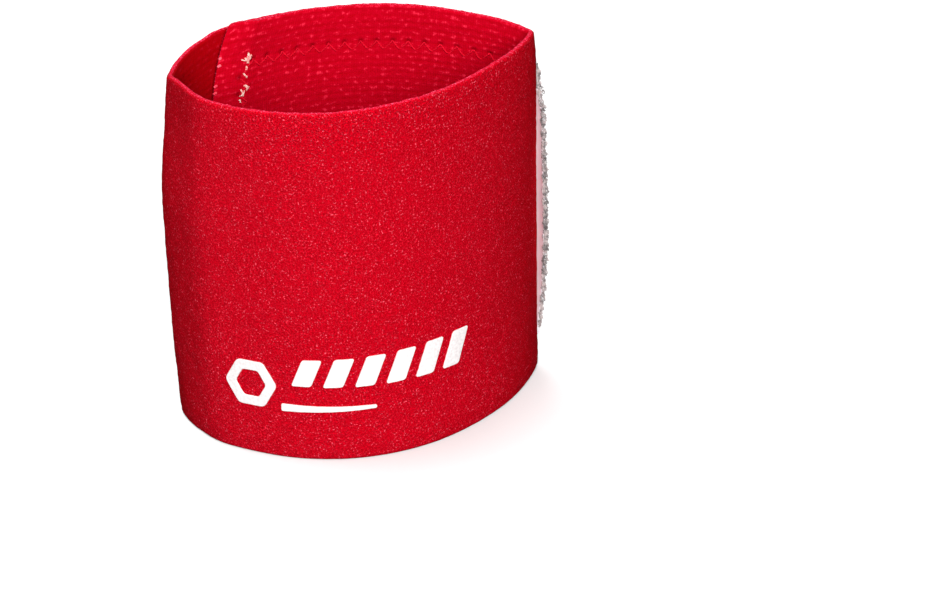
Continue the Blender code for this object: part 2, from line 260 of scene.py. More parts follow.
def fold_shift(distance, height):
    """Sideways lean of the fold's crease, which stands out at its top and in at its foot."""
    lean = np.interp(height, FOLD_LEAN_AT, FOLD_LEAN)
    shift = lean * np.exp(-(distance / FOLD_LEAN_REACH) ** 2)
    return np.stack([shift, 0 * shift], -1)


def main_place(arc, height, inward):
    """Corner on the front wall, the bend or the flap, inward metres below its outer face."""
    arc, height, inward = np.broadcast_arrays(arc, height, inward)
    point, normal = outline_at(arc)
    direction = lean_into_fold(normal, arc)
    point = point + normal * sag(arc, height)[..., None] + fold_shift(arc, height)
    point = point + direction * inward[..., None]
    return np.concatenate([point, height[..., None]], -1)


def nest(distance):
    return smooth_step(distance / NEST_RAMP)


def inner_wall(distance, height):
    """Outer face of the end that carries the hooks: points, inward normals and heights."""
    share = np.clip(distance, 0, None) / HOOK_END_REACH
    first, further, fade = CUT_SLANT
    drop = STRAP_WIDTH - np.clip(height, 0, STRAP_WIDTH)
    slant = first + further * (1 - np.exp(-drop / fade))
    point, normal = outline_at(LOOP_LENGTH - distance - slant * share ** 2)
    wave = INNER_WAVE_DEPTH * cloth_noise(distance, height, INNER_WAVE_CELL, 8)
    wave = wave * smooth_step(distance / 0.01)
    settle = CUT_SETTLE * smooth_step(1 - (HOOK_END_REACH - distance) / SETTLE_REACH)
    point = point + normal * (NEST_DEPTH * nest(distance) + wave - settle)[..., None]
    point = point + fold_shift(distance, height)
    growth = np.interp(distance, INNER_TOP_AT, INNER_TOP_GROWTH)
    rise = HOOK_END_RISE * nest(distance) * (FOOT_RISE + (1 - FOOT_RISE) * height / STRAP_WIDTH)
    return point, normal, height * (1 + growth) + rise


def hook_place(distance, height, inward):
    """Corner on the end that carries the hooks, and on the front wall just before the fold."""
    distance, height, inward = np.broadcast_arrays(distance, height, inward)
    point, normal, z = inner_wall(distance, height)
    direction = lean_into_fold(normal, np.abs(distance))
    point = point + direction * inward[..., None]
    after = np.concatenate([point, z[..., None]], -1)
    return np.where((distance < 0)[..., None], main_place(np.abs(distance), height, inward), after)


def tape_place(distance, height, outward):
    """Corner on or over the hook tape, which runs on straight past the fold and curls a little."""
    distance, height, outward = np.broadcast_arrays(distance, height, outward)
    point, normal, z = inner_wall(distance, height)
    curl = TAPE_CURL * (np.clip(-distance, 0, None) / TAPE_PAST_FOLD) ** 2
    point = point + normal * (curl - outward)[..., None]
    return np.concatenate([point, z[..., None]], -1)


# ---- mesh building ----
def new_object(name, points, faces, materials, face_material=None, uv=None, smooth=True):
    """Mesh object from arrays; uv is one pair for each point, in strap centimetres."""
    data = bpy.data.meshes.new(name)
    data.from_pydata(np.asarray(points).reshape(-1, 3).tolist(), [], faces)
    for material in materials:
        data.materials.append(material)
    if face_material is not None:
        data.polygons.foreach_set("material_index", np.asarray(face_material, np.int32))
    if uv is not None:
        layer = data.uv_layers.new(name="cloth")
        corners = np.empty(len(data.loops), np.int32)
        data.loops.foreach_get("vertex_index", corners)
        layer.data.foreach_set("uv", (np.asarray(uv).reshape(-1, 2)[corners] * 100).ravel())
    data.polygons.foreach_set("use_smooth", np.full(len(data.polygons), smooth))
    data.update()
    turn_faces_outwards(data)
    piece = bpy.data.objects.new(name, data)
    bpy.context.scene.collection.objects.link(piece)
    return piece


def turn_faces_outwards(data):
    mesh = bmesh.new()
    mesh.from_mesh(data)
    bmesh.ops.recalc_face_normals(mesh, faces=mesh.faces)
    mesh.to_mesh(data)
    mesh.free()


def tube_faces(rows, ring, base=0):
    """Quads of a tube of rings, and its two end caps."""
    faces = []
    for i in range(rows - 1):
        a, b = base + i * ring, base + (i + 1) * ring
        faces += [(a + k, a + (k + 1) % ring, b + (k + 1) % ring, b + k) for k in range(ring)]
    faces.append(tuple(base + k for k in reversed(range(ring))))
    faces.append(tuple(base + (rows - 1) * ring + k for k in range(ring)))
    return faces


def profile(outer_step, inner_step):
    """The strap's cross-section as a closed run of (height, share of the thickness, zone).

    Zone 0 is the outer face, 1 the inner face and 2 the selvedges.
    """
    low, high = EDGE_RADIUS, STRAP_WIDTH - EDGE_RADIUS
    outer = np.linspace(low, high, int((high - low) / outer_step) + 1)
    inner = np.linspace(high, low, int((high - low) / inner_step) + 1)
    turn = np.linspace(0, math.pi, 11)[1:-1]
    rim_height = EDGE_RADIUS * np.sin(turn)
    rim_share = (1 - np.cos(turn)) / 2
    rim_zone = np.array([0, 0, 0, 2, 2, 2, 1, 1, 1])
    height = np.concatenate([outer, high + rim_height, inner, low - rim_height])
    share = np.concatenate([0 * outer, rim_share, 0 * inner + 1, 1 - rim_share])
    zone = np.concatenate([0 * outer, rim_zone, 0 * inner + 1, rim_zone[::-1]])
    return height, share, zone.astype(int)


def thickness_share(height, to_cut):
    """How much of the thickness is left near a selvedge and near a cut end."""
    edge = np.minimum(height, STRAP_WIDTH - height)
    selvedge = EDGE_PINCH + (1 - EDGE_PINCH) * smooth_step(edge / SELVEDGE_TAPER)
    cut = CUT_PINCH + (1 - CUT_PINCH) * smooth_step(to_cut / CUT_TAPER)
    return selvedge * cut * np.sqrt(np.clip(to_cut / CUT_ROUND, 0.04, 1))


def relief(along, height, zone, holes=None):
    """Small displacement of the cloth's faces, positive outwards from its middle."""
    pile = PILE_DEPTH * cloth_noise(along, height, 0.0007, 11)
    pile = pile + 0.00004 * cloth_noise(along, height, 0.0019, 12)
    edge = np.minimum(height, STRAP_WIDTH - height)
    rib_phase = np.abs(np.sin(math.pi * height / RIB_PITCH))
    knots = 0.6 + 0.4 * cloth_noise(along, height * 0.4, 0.0016, 13)
    rib = RIB_DEPTH * (rib_phase ** 0.8 - 0.6) * knots * smooth_step(edge / 0.003)
    rim = 0.00009 * cloth_noise(along, height * 3, 0.0006, 14)
    lift = np.choose(zone, [pile, rib, rim])
    if holes is not None:
        lift = lift - NEEDLE_DEPTH * holes * (zone == 1)
    return lift


def strap_piece(name, along, place, cut_at, materials, holes_at=None):
    """A stretch of strap as one closed mesh with real ribs, pile relief and round selvedges."""
    height, share, zone = profile(*PROFILE_STEPS)
    u, h = np.meshgrid(along, height, indexing="ij")
    s = np.broadcast_to(share, u.shape)
    z = np.broadcast_to(zone, u.shape)
    holes = needle_holes(u, h, holes_at) if holes_at is not None else None
    lift = relief(u, h, z, holes)
    left = thickness_share(h, np.abs(cut_at - u))
    inward = STRAP_THICKNESS * (0.3 + (s - 0.3) * left) + lift * (2 * s - 1) * left
    jitter = 0.00007 * cloth_noise(u, 0 * h, 0.0011, 15)
    jitter = jitter + 0.00012 * cloth_noise(u, 0 * h, 0.009, 16)
    rim_up = np.where(z == 2, np.where(h > STRAP_WIDTH / 2, lift, np.abs(lift)), 0)
    top_up = np.where(h > STRAP_WIDTH - 0.002, jitter, 0)
    points = place(u, h + rim_up + top_up, inward)
    rows, ring = u.shape
    faces = tube_faces(rows, ring)
    face_zone = np.where(zone == np.roll(zone, -1), zone, 2)
    face_material = np.concatenate([np.tile(face_zone, rows - 1), [2, 2]])
    across = np.where(z == 2, STRAP_WIDTH + s * STRAP_THICKNESS, h)
    piece = new_object(name, points, faces, materials, face_material, np.stack([u, across], -1))
    if holes is not None:
        # Kept for the ribs' colour, which paints shade into the dimples.
        shade = piece.data.attributes.new("painted_needle_shade", "FLOAT", "POINT")
        shade.data.foreach_set("value", (holes * (z == 1)).astype(np.float32).ravel())
    sharpen_first_ring(piece.data, ring)
    return piece


def sharpen_first_ring(data, ring):
    """Keep the end cap where two strap pieces meet from tilting the normals beside it."""
    ends = np.empty(2 * len(data.edges), np.int32)
    data.edges.foreach_get("vertices", ends)
    sharp = (ends.reshape(-1, 2) < ring).all(1)
    mark = data.attributes.new("sharp_edge", "BOOLEAN", "EDGE")
    mark.data.foreach_set("value", sharp)


def needle_holes(u, h, centres):
    """Depth from 0 to 1 of the dimples where the thread enters the cloth, which also sets the painted
    shade in them.
    """
    depth = np.zeros(u.shape)
    reach = 0.0015
    for cu, ch in centres:
        near_u = np.flatnonzero(np.abs(u[:, 0] - cu) < reach)
        near_h = np.flatnonzero(np.abs(h[0] - ch) < reach)
        if len(near_u) and len(near_h):
            block = np.ix_(near_u, near_h)
            away = (u[block] - cu) ** 2 + (h[block] - ch) ** 2
            depth[block] = np.maximum(depth[block], np.exp(-away / NEEDLE_RADIUS ** 2))
    return depth


# ---- materials ----
class Nodes:
    """A material's node tree with short helpers."""

    def __init__(self, name, space="cloth"):
        self.material = bpy.data.materials.new(name)
        self.material.use_nodes = True
        self.tree = self.material.node_tree
        self.shader = self.tree.nodes["Principled BSDF"]
        if space == "cloth":
            self.dimensions = "2D"
            self.cloth = self.add("ShaderNodeUVMap")
            self.cloth.uv_map = "cloth"
            self.place = self.cloth.outputs[0]
        else:
            self.dimensions = "3D"
            centimetres = self.add("ShaderNodeVectorMath", operation="SCALE")
            self.wire(centimetres, _0=self.add("ShaderNodeTexCoord").outputs["Object"], Scale=100.0)
            self.place = centimetres.outputs[0]

    def add(self, kind, **settings):
        node = self.tree.nodes.new(kind)
        for key, value in settings.items():
            setattr(node, key, value)
        return node

    def wire(self, node, **inputs):
        for key, value in inputs.items():
            socket = node.inputs[int(key[1:])] if key[0] == "_" else node.inputs[key]
            if isinstance(value, bpy.types.NodeSocket):
                self.tree.links.new(value, socket)
            else:
                opaque = socket.type == "RGBA"      # colours are given as linear triples
                socket.default_value = (*value, 1.0) if opaque else value
        return node

    def stretched(self, x, y):
        """The cloth's coordinates with each axis scaled."""
        node = self.add("ShaderNodeVectorMath", operation="MULTIPLY")
        self.wire(node, _0=self.place, _1=(x, y, 1.0))
        return node.outputs[0]

    def noise(self, scale, detail=2.0, vector=None, roughness=0.5):
        node = self.add("ShaderNodeTexNoise", noise_dimensions=self.dimensions)
        self.wire(node, Vector=vector or self.place, Scale=scale, Detail=detail,
                  Roughness=roughness)
        return node.outputs[0]

    def cells(self, scale):
        node = self.add("ShaderNodeTexVoronoi", voronoi_dimensions=self.dimensions)
        self.wire(node, Vector=self.place, Scale=scale)
        return node.outputs["Distance"]

    def sines(self, pitch_cm, axis):
        """Ridges from 0 to 1 across one axis of the cloth."""
        split = self.add("ShaderNodeSeparateXYZ")
        self.wire(split, _0=self.place)
        turned = self.math("MULTIPLY", split.outputs[axis], math.pi / pitch_cm)
        return self.math("ABSOLUTE", self.math("SINE", turned))

    def math(self, operation, a, b=0.0):
        node = self.add("ShaderNodeMath", operation=operation)
        self.wire(node, _0=a, _1=b)
        return node.outputs[0]

    def times(self, a, b):
        return self.math("MULTIPLY", a, b)

    def plus(self, a, b):
        return self.math("ADD", a, b)

    def span(self, value, low, high, out_low=0.0, out_high=1.0):
        node = self.add("ShaderNodeMapRange")
        self.wire(node, _0=value, _1=low, _2=high, _3=out_low, _4=out_high)
        return node.outputs[0]

    def mix(self, factor, first, second):
        node = self.add("ShaderNodeMix", data_type="RGBA")
        self.wire(node, _0=factor, _6=first, _7=second)
        return node.outputs[2]

    def bump(self, height, strength, distance):
        node = self.add("ShaderNodeBump")
        self.wire(node, Strength=strength, Distance=distance, Height=height)
        return node.outputs[0]

    def facing(self):
        """From 0 where the surface faces the eye to 1 where it is seen edge on."""
        node = self.add("ShaderNodeLayerWeight")
        self.wire(node, Blend=0.5)
        return node.outputs["Facing"]

    def finish(self, **inputs):
        names = {"colour": "Base Color", "roughness": "Roughness", "normal": "Normal",
                 "sheen": "Sheen Weight", "sheen_roughness": "Sheen Roughness",
                 "sheen_tint": "Sheen Tint", "specular": "Specular IOR Level",
                 "transmission": "Transmission Weight"}
        for key, value in inputs.items():
            self.wire(self.shader, **{names[key]: value})
        return self.material


def pile_material():
    """Brushed loop pile: dense curled loops with brighter tips, a few painted glints, and painted shade
    where it is seen edge on.
    """
    n = Nodes("red_loop_pile")
    curl = n.math("ABSOLUTE", n.math("SUBTRACT", n.noise(17.0, 0.0), 0.5))
    loops = n.span(curl, 0.0, 0.085, 1.0, 0.0)
    matted = n.noise(26.0, 1.0, roughness=0.6)
    broad = n.noise(1.0, 3.0)
    tone = n.plus(n.times(loops, 0.65), n.span(matted, 0.34, 0.66, 0.0, 0.4))
    colour = n.mix(n.span(tone, 0.05, 0.75), (0.40, 0.0001, 0.004), (0.90, 0.0018, 0.021))
    colour = n.mix(n.span(tone, 0.55, 0.98), colour, (1.0, 0.034, 0.072))
    colour = n.mix(n.span(broad, 0.35, 0.65, 0.0, 0.18), colour, (0.60, 0.0008, 0.012))
    # Painted shade: the pile is darkened where it is seen edge on, standing in for the light falling off
    # round the band's sides.
    painted_edge_shade = n.span(n.facing(), 0.42, 0.95, 0.0, 0.75)
    colour = n.mix(painted_edge_shade, colour, (0.36, 0.0001, 0.0003))
    # Painted highlights: a few pinkish glints, weaker where the pile is seen edge on.
    painted_glint = n.times(n.span(n.noise(25.0, 1.0), 0.66, 0.73), n.span(n.noise(6.0, 1.0), 0.42, 0.6))
    colour = n.mix(n.times(painted_glint, n.span(painted_edge_shade, 0.0, 0.7, 0.8, 0.30)), colour,
                   (1.0, 0.13, 0.20))
    height = n.plus(n.times(matted, 0.5), n.times(loops, 0.7))
    return n.finish(colour=colour, roughness=0.95, normal=n.bump(height, 0.9, 0.0004),
                    sheen=0.008, sheen_roughness=0.4, sheen_tint=(1.0, 0.06, 0.10), specular=0.015)


def rib_material():
    """Ribbed inner face: rows of covered rubber yarns bound by fine cross threads."""
    n = Nodes("red_ribbed_face")
    ridge = n.sines(RIB_PITCH * 100, 1)
    binding = n.sines(0.050, 0)
    dash = n.noise(10.0, 2.0, vector=n.stretched(0.8, 1.0), roughness=0.6)
    fine = n.noise(34.0, 2.0, vector=n.stretched(0.6, 1.0))
    # Painted highlight: the ribs' tops are drawn lighter than their sides.
    tone = n.plus(n.times(ridge, 0.40), n.span(dash, 0.35, 0.70, 0.0, 0.55))
    cross = n.times(n.math("SUBTRACT", binding, 0.5), n.span(fine, 0.3, 0.8, 0.0, 0.6))
    colour = n.mix(n.span(n.plus(tone, cross), 0.0, 1.15), (0.36, 0.0001, 0.0045),
                   (0.48, 0.0006, 0.014))
    # Painted highlight: pinkish dashes along the rib tops.
    painted_highlight = n.times(n.span(dash, 0.58, 0.72), n.span(ridge, 0.45, 0.95))
    colour = n.mix(n.times(painted_highlight, n.span(binding, 0.2, 0.8, 0.25, 0.65)), colour,
                   (0.88, 0.030, 0.075))
    # Painted shade: the ribs are darkened where they are seen edge on.
    colour = n.mix(n.span(n.facing(), 0.25, 0.85, 0.0, 0.45), colour, (0.36, 0.0001, 0.002))
    along = n.add("ShaderNodeSeparateXYZ")
    n.wire(along, _0=n.place)
    # Painted shade inside the open bend: the ribs are darkened past it, towards the flap.
    start, end = (-(BEND_ARC + past) * 100 for past in FLAP_PAINTED_SHADE)
    flap = n.span(along.outputs[0], start, end, 0.0, 0.66)
    colour = n.mix(flap, colour, (0.28, 0.0, 0.0002))
    # Painted shade: the stitch dimples are darkened.
    shade = n.add("ShaderNodeAttribute", attribute_name="painted_needle_shade")
    colour = n.mix(n.span(shade.outputs["Fac"], 0.12, 0.8, 0.0, 0.7), colour, (0.17, 0.0, 0.002))
    height = n.plus(n.times(binding, 0.25), n.times(fine, 0.9))
    return n.finish(colour=colour, roughness=0.9, normal=n.bump(height, 0.5, 0.0002),
                    sheen=0.008, sheen_roughness=0.5, sheen_tint=(1.0, 0.06, 0.10), specular=0.015)


def rim_material():
    """Selvedge: tight bright loops where the two faces turn into each other."""
    n = Nodes("red_selvedge")
    knots = n.noise(17.0, 2.0, roughness=0.6)
    beads = n.cells(14.0)
    tone = n.plus(n.span(knots, 0.32, 0.68, 0.0, 0.8), n.span(beads, 0.0, 0.6, 0.35, -0.1))
    colour = n.mix(n.span(tone, 0.0, 1.1), (0.46, 0.0004, 0.013), (0.84, 0.010, 0.052))
    colour = n.mix(n.span(n.noise(21.0, 1.0), 0.59, 0.68, 0.0, 0.80), colour, (1.0, 0.11, 0.22))
    return n.finish(colour=colour, roughness=0.85, normal=n.bump(tone, 0.8, 0.0003),
                    sheen=0.03, sheen_roughness=0.5, sheen_tint=(1.0, 0.15, 0.25), specular=0.05)


def fibre_material(name, grain, dark, pale, stain=None, **looks):
    """Twisted or cut fibre: fine plies, and perhaps broad patches (scale, low, high, share, colour)."""
    n = Nodes(name, "object")
    plies = n.noise(grain, 2.0)
    colour = n.mix(n.span(plies, 0.3, 0.7), dark, pale)
    if stain:
        scale, low, high, share, other = stain
        colour = n.mix(n.span(n.noise(scale, 1.0), low, high, 0.0, share), colour, other)
    return n.finish(colour=colour, normal=n.bump(plies, 0.5, 0.0001), **looks)


def thread_material():
    return fibre_material("red_thread", 55.0, (0.42, 0.0004, 0.006), (0.68, 0.007, 0.030),
                          roughness=0.7, sheen=0.01, sheen_roughness=0.4,
                          sheen_tint=(1.0, 0.1, 0.15), specular=0.04)


def pale_thread_material():
    return fibre_material("pale_thread", 45.0, (0.62, 0.34, 0.28), (0.90, 0.68, 0.60),
                          (9.0, 0.42, 0.66, 0.75, (0.88, 0.15, 0.16)),
                          roughness=0.65, sheen=0.2, sheen_roughness=0.4, specular=0.3)


def yarn_end_material():
    return fibre_material("rubber_yarn_end", 60.0, (0.70, 0.008, 0.04), (1.0, 0.07, 0.13),
                          (6.0, 0.5, 0.65, 0.6, (1.0, 0.18, 0.24)), roughness=0.6, specular=0.35)


def tape_material():
    """Tight pale woven tape, with a pink tint of painted red bounce light."""
    n = Nodes("pale_woven_tape")
    warp = n.sines(0.042, 1)
    weft = n.sines(0.036, 0)
    broad = n.noise(2.2, 2.0)
    slub = n.noise(18.0, 2.0, vector=n.stretched(1.0, 0.25))
    tone = n.plus(n.times(warp, 0.35), n.times(weft, 0.3))
    tone = n.plus(tone, n.span(slub, 0.3, 0.7, 0.0, 0.45))
    # The pink tint in these colours is painted red bounce light from the strap.
    colour = n.mix(n.span(tone, 0.1, 1.1), (0.88, 0.82, 0.92), (1.0, 0.98, 1.0))
    colour = n.mix(n.span(broad, 0.4, 0.65, 0.0, 0.3), colour, (0.80, 0.72, 0.82))
    return n.finish(colour=colour, roughness=0.72, normal=n.bump(tone, 0.5, 0.00012), sheen=0.1,
                    sheen_roughness=0.5, specular=0.3)


def hook_material():
    """Clear grey filament, near black in broad patches and with a paler pink grain."""
    n = Nodes("clear_hook_filament", "object")
    dark_patches = n.noise(8.0, 2.0)
    grain = n.noise(70.0, 1.0)
    colour = n.mix(n.span(dark_patches, 0.40, 0.60), (0.10, 0.088, 0.085), (0.58, 0.49, 0.48))
    colour = n.mix(n.span(grain, 0.5, 0.7, 0.0, 0.55), colour, (0.85, 0.72, 0.73))
    return n.finish(colour=colour, roughness=0.38, normal=n.bump(grain, 0.3, 0.00005),
                    transmission=0.12, specular=0.5)


def film_material():
    """White transfer film, faintly crazed and slightly grey in patches."""
    n = Nodes("white_transfer_film")
    crease = n.noise(16.0, 3.0)
    cells = n.cells(22.0)
    tone = n.span(crease, 0.3, 0.7)
    colour = n.mix(tone, (0.74, 0.68, 0.68), (0.88, 0.835, 0.83))
    height = n.plus(n.times(crease, 0.8), n.times(cells, 0.35))
    return n.finish(colour=colour, roughness=0.5, normal=n.bump(height, 0.35, 0.00012), specular=0.4)


# ---- camera, floor and light ----
VIEW_AZIMUTH = -10.435
VIEW_ELEVATION = 27.0
VIEW_ROLL = 2.198
VIEW_DISTANCE = 0.84625
LENS_MM = 160.75
AIM_OFFSET = (-0.023349, 0.016362)   # how far the band stands left of and above the view's middle
LIGHTS = (("key_light", (-0.10, -1.08, 0.68), 0.80, 28.0),      # place, size in metres and watts
          ("top_light", (-0.30, 0.50, 1.8), 1.4, 30.0),
          ("back_fill", (0.30, 1.15, 0.55), 1.6, 6.0))
WORLD_STRENGTH = 0.07
FLOOR_HALF = 6.0


def add_camera():
    azimuth, elevation, roll = (math.radians(a) for a in (VIEW_AZIMUTH, VIEW_ELEVATION, VIEW_ROLL))
    back = Vector((math.sin(azimuth) * math.cos(elevation), -math.cos(azimuth) * math.cos(elevation),
                   math.sin(elevation)))
    across = Vector((math.cos(azimuth), math.sin(azimuth), 0))
    up = back.cross(across)
    middle = Vector((*(FOLD_POINT + BEND_POINT) / 2, STRAP_WIDTH / 2))
    middle.y = FOLD_POINT[1]
    place = middle + back * VIEW_DISTANCE - across * AIM_OFFSET[0] - up * AIM_OFFSET[1]
    right = across * math.cos(roll) - up * math.sin(roll)
    above = across * math.sin(roll) + up * math.cos(roll)
    data = bpy.data.cameras.new("camera")
    data.lens = LENS_MM
    data.sensor_width = 36.0
    data.clip_start = 0.01
    camera = bpy.data.objects.new("camera", data)
    camera.matrix_world = Matrix((
        (right.x, above.x, back.x, place.x),
        (right.y, above.y, back.y, place.y),
        (right.z, above.z, back.z, place.z),
        (0, 0, 0, 1)))
    bpy.context.scene.collection.objects.link(camera)
    bpy.context.scene.camera = camera


def add_area_light(name, place, target, size, power):
    data = bpy.data.lights.new(name, "AREA")
    data.shape = "DISK"
    data.size = size
    data.energy = power
    light = bpy.data.objects.new(name, data)
    light.location = place
    light.rotation_euler = (Vector(target) - Vector(place)).to_track_quat("-Z", "Y").to_euler()
    bpy.context.scene.collection.objects.link(light)


def add_studio():
    signs = ((-1, -1), (1, -1), (1, 1), (-1, 1))
    corners = [(x * FLOOR_HALF, y * FLOOR_HALF, 0.0) for x, y in signs]
    n = Nodes("pale_floor", "object")
    material = n.finish(colour=(0.85, 0.85, 0.85), roughness=0.9, specular=0.1)
    floor = new_object("floor", corners, [(0, 1, 2, 3)], [material], smooth=False)
    floor.visible_diffuse = False
    world = bpy.data.worlds.new("studio")
    world.use_nodes = True
    background = world.node_tree.nodes["Background"]
    background.inputs["Color"].default_value = (1.0, 1.0, 1.0, 1.0)
    background.inputs["Strength"].default_value = WORLD_STRENGTH
    bpy.context.scene.world = world
    middle = (0.0, 0.0, 0.035)
    for name, place, size, power in LIGHTS:
        add_area_light(name, place, middle, size, power)
    view = bpy.context.scene.view_settings
    view.view_transform = "Standard"
    view.look = "None"


# ---- assembly ----
def zigzag(start, end):
    """Places from start to end, with the swing to one side or the other at each."""
    count = int(abs(end - start) / (STITCH_PITCH / 2))
    return [(start + (end - start) * k / count, STITCH_SWING * (1 if k % 2 else -1))
            for k in range(count + 1)]


def stitch_rows():
    """Turning points (distance, height) of the four zigzag rows round the patch."""
    left = HOOK_END_REACH - SEAM_FROM_CUT
    right = TAPE_END + HOOK_STRIP + HOOK_INSET / 2
    top = STRAP_WIDTH - TAPE_TOP_MARGIN - SELVEDGE / 2 - STITCH_DROP
    bottom = TAPE_BOTTOM_MARGIN + SELVEDGE / 2
    room = 2 * STITCH_SWING + 4 * THREAD_RADIUS
    rows = {}
    for name, level in (("top", top), ("bottom", bottom)):
        rows[name] = [(along, level + swing) for along, swing in zigzag(left, right)]
    for name, distance in (("cut_end", left), ("fold_end", right)):
        rows[name] = [(distance + swing, up) for up, swing in zigzag(bottom + room, top - room)]
    return rows


def band_place(distance, height, inward):
    """The band's own corner by its distance from the fold, its top edge dipping at the bend."""
    arc = -np.asarray(distance)
    growth = np.interp(arc - BEND_ARC, BEND_TOP_AT, BEND_TOP_GROWTH)
    return main_place(arc, height * (1 + growth), inward)


def cut_rows(start, cut):
    """Distances from the fold of the cross-sections, closer together at the cut end."""
    toward = math.copysign(1.0, cut - start)
    count = int(abs(cut - start) / ROW_SPACING)
    even = np.linspace(start, cut - toward * CUT_ROUND, count)
    return np.concatenate([even, cut - toward * LAST_ROWS])


def add_strap():
    materials = [pile_material(), rib_material(), rim_material()]
    main = strap_piece("strap_band", cut_rows(-SPLIT, -FLAP_END), band_place, -FLAP_END, materials)
    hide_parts("strap_front_panel", "strap_closing_flap")
    blend_across(main, "closing_flap", BEND_POINT, *BEND_BLEND)
    centres = [point for row in stitch_rows().values() for point in row[1::2]]
    inner = strap_piece("strap_inner_end", cut_rows(-SPLIT, HOOK_END_REACH), hook_place,
                        HOOK_END_REACH, materials, centres)
    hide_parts("strap_hook_end")
    blend_across(inner, "hook_end", FOLD_POINT, *FOLD_BLEND)


def blend_across(piece, body, axis, direction, reach):
    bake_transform(piece)


# ---- strands: hooks, threads and yarn ends ----
def across_path(path):
    """Two unit directions square to a path at each of its points."""
    along = np.gradient(path, axis=0)
    along /= np.linalg.norm(along, axis=1)[:, None] + 1e-12
    side = np.cross(along, (0.31, 0.17, 0.93))
    side /= np.linalg.norm(side, axis=1)[:, None] + 1e-12
    return side, np.cross(along, side)


def strands(name, paths, radius, material, sides=5, ends=(1.0, 1.0)):
    """Round strands along paths of points, joined in one piece, each closed at both ends."""
    corners, faces, total = [], [], 0
    turn = np.linspace(0, 2 * math.pi, sides, endpoint=False)[None, :, None]
    for path in paths:
        path = np.asarray(path, float)
        side, other = across_path(path)
        width = radius * np.linspace(*ends, len(path))[:, None, None]
        ring = path[:, None] + width * (np.cos(turn) * side[:, None] + np.sin(turn) * other[:, None])
        corners.append(ring.reshape(-1, 3))
        faces += tube_faces(len(path), sides, total)
        total += len(path) * sides
    return new_object(name, np.concatenate(corners), faces, [material])


def twisted(path, thread_radius, pitch):
    """Two plies wound round a path."""
    path = np.asarray(path, float)
    step = np.linalg.norm(np.diff(path, axis=0), axis=1)
    travelled = np.concatenate([[0], np.cumsum(step)])
    wanted = np.linspace(0, travelled[-1], max(int(travelled[-1] / 0.00022), 8))
    path = np.stack([np.interp(wanted, travelled, path[:, k]) for k in range(3)], 1)
    side, other = across_path(path)
    turn = (wanted / pitch * 2 * math.pi)[:, None]
    offset = 0.5 * thread_radius * (np.cos(turn) * side + np.sin(turn) * other)
    return [path + offset, path - offset]


# ---- the hook tape ----
def tape_reach(height):
    """How far past the fold the tape's free edge stands at each height."""
    return TAPE_PAST_FOLD * np.interp(height, TAPE_EDGE_AT, TAPE_EDGE)


def add_tape():
    low, high = TAPE_BOTTOM_MARGIN, STRAP_WIDTH - TAPE_TOP_MARGIN
    inset = 0.00012
    up = np.linspace(low + inset, high - inset, 110)
    height = np.concatenate([[low], up, [high], up[::-1]])
    depth = np.concatenate([[0.5], 0 * up + 1, [0.5], 0 * up])
    share = np.concatenate([[0, 0.001], np.linspace(0.004, 0.985, 118), [0.99, 0.995, 0.999, 1.0]])
    s, h = np.meshgrid(share, height, indexing="ij")
    end = -tape_reach(h)
    start = TAPE_START - 0.0012
    distance = start + (end - start) * s
    thin = np.where((s == 0) | (s == 1.0), 0.35, 1.0)
    middle = CONTACT_GAP + TAPE_THICKNESS / 2
    weave = np.sin(distance / WEAVE_PITCH * math.pi) * np.sin(h / WEAVE_PITCH * math.pi)
    outward = middle + (depth - 0.5) * (TAPE_THICKNESS * thin + 0.00002 * weave)
    points = tape_place(distance, h, outward)
    piece = new_object("hook_tape_woven", points, tube_faces(len(share), len(height)),
                       [tape_material()], uv=np.stack([distance, h], -1))
    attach(piece, "hook_end")
    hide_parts("hook_tape")


def hook_path(distance, height, turn, tall, lean):
    """One bent filament standing on the tape."""
    rise = np.array([-0.12, 0.30, 0.62, 0.86, 1.0, 0.95, 0.74]) * tall
    bend = np.array([0.0, 0.0, 0.03, 0.14, 0.36, 0.56, 0.66]) * HOOK_BEND
    across = bend * math.cos(turn) + lean[0] * rise
    over = bend * math.sin(turn) + lean[1] * rise
    base = CONTACT_GAP + TAPE_THICKNESS
    return tape_place(distance + across, height + over, base + rise)


def hook_grid(rng, nearest, furthest, low, high, pitch):
    """Hooks in staggered rows, none beyond the tape's own free edge."""
    paths = []
    for i, height in enumerate(np.arange(low, high, pitch)):
        for distance in np.arange(nearest, furthest, pitch) + (i % 2) * pitch / 2:
            draw = rng.normal(size=6)
            if distance < -tape_reach(height) + 0.0004:
                continue
            tall = HOOK_HEIGHT * 0.9 * (1 + 0.05 * draw[3]) * worn_share(distance, height)
            paths.append(hook_path(distance + draw[0] * 0.00008, height + draw[1] * 0.00008,
                                   (i % 2) * math.pi + draw[2] * 0.35, tall,
                                   (0.10 * draw[4], 0.10 * draw[5])))
    return paths


def scallop(height):
    """Uneven waves from 0 to 1 along the free edge, low at its two ends."""
    wave = 0.5 + 0.5 * math.sin(height / 0.0027 * 2 * math.pi + 2.4 * math.sin(height / 0.0071))
    fade = smooth_step((height - 0.008) / 0.018) * smooth_step((0.0700 - height) / 0.006)
    return float((0.35 + 0.65 * wave) * (0.25 + 0.75 * fade))


def worn_share(distance, height):
    """Hooks are pressed low towards the free edge and least so where the edge waves out."""
    inside = smooth_step((distance + tape_reach(height)) / 0.0035)
    return float(inside + (1 - inside) * (0.30 + 0.45 * scallop(height)))


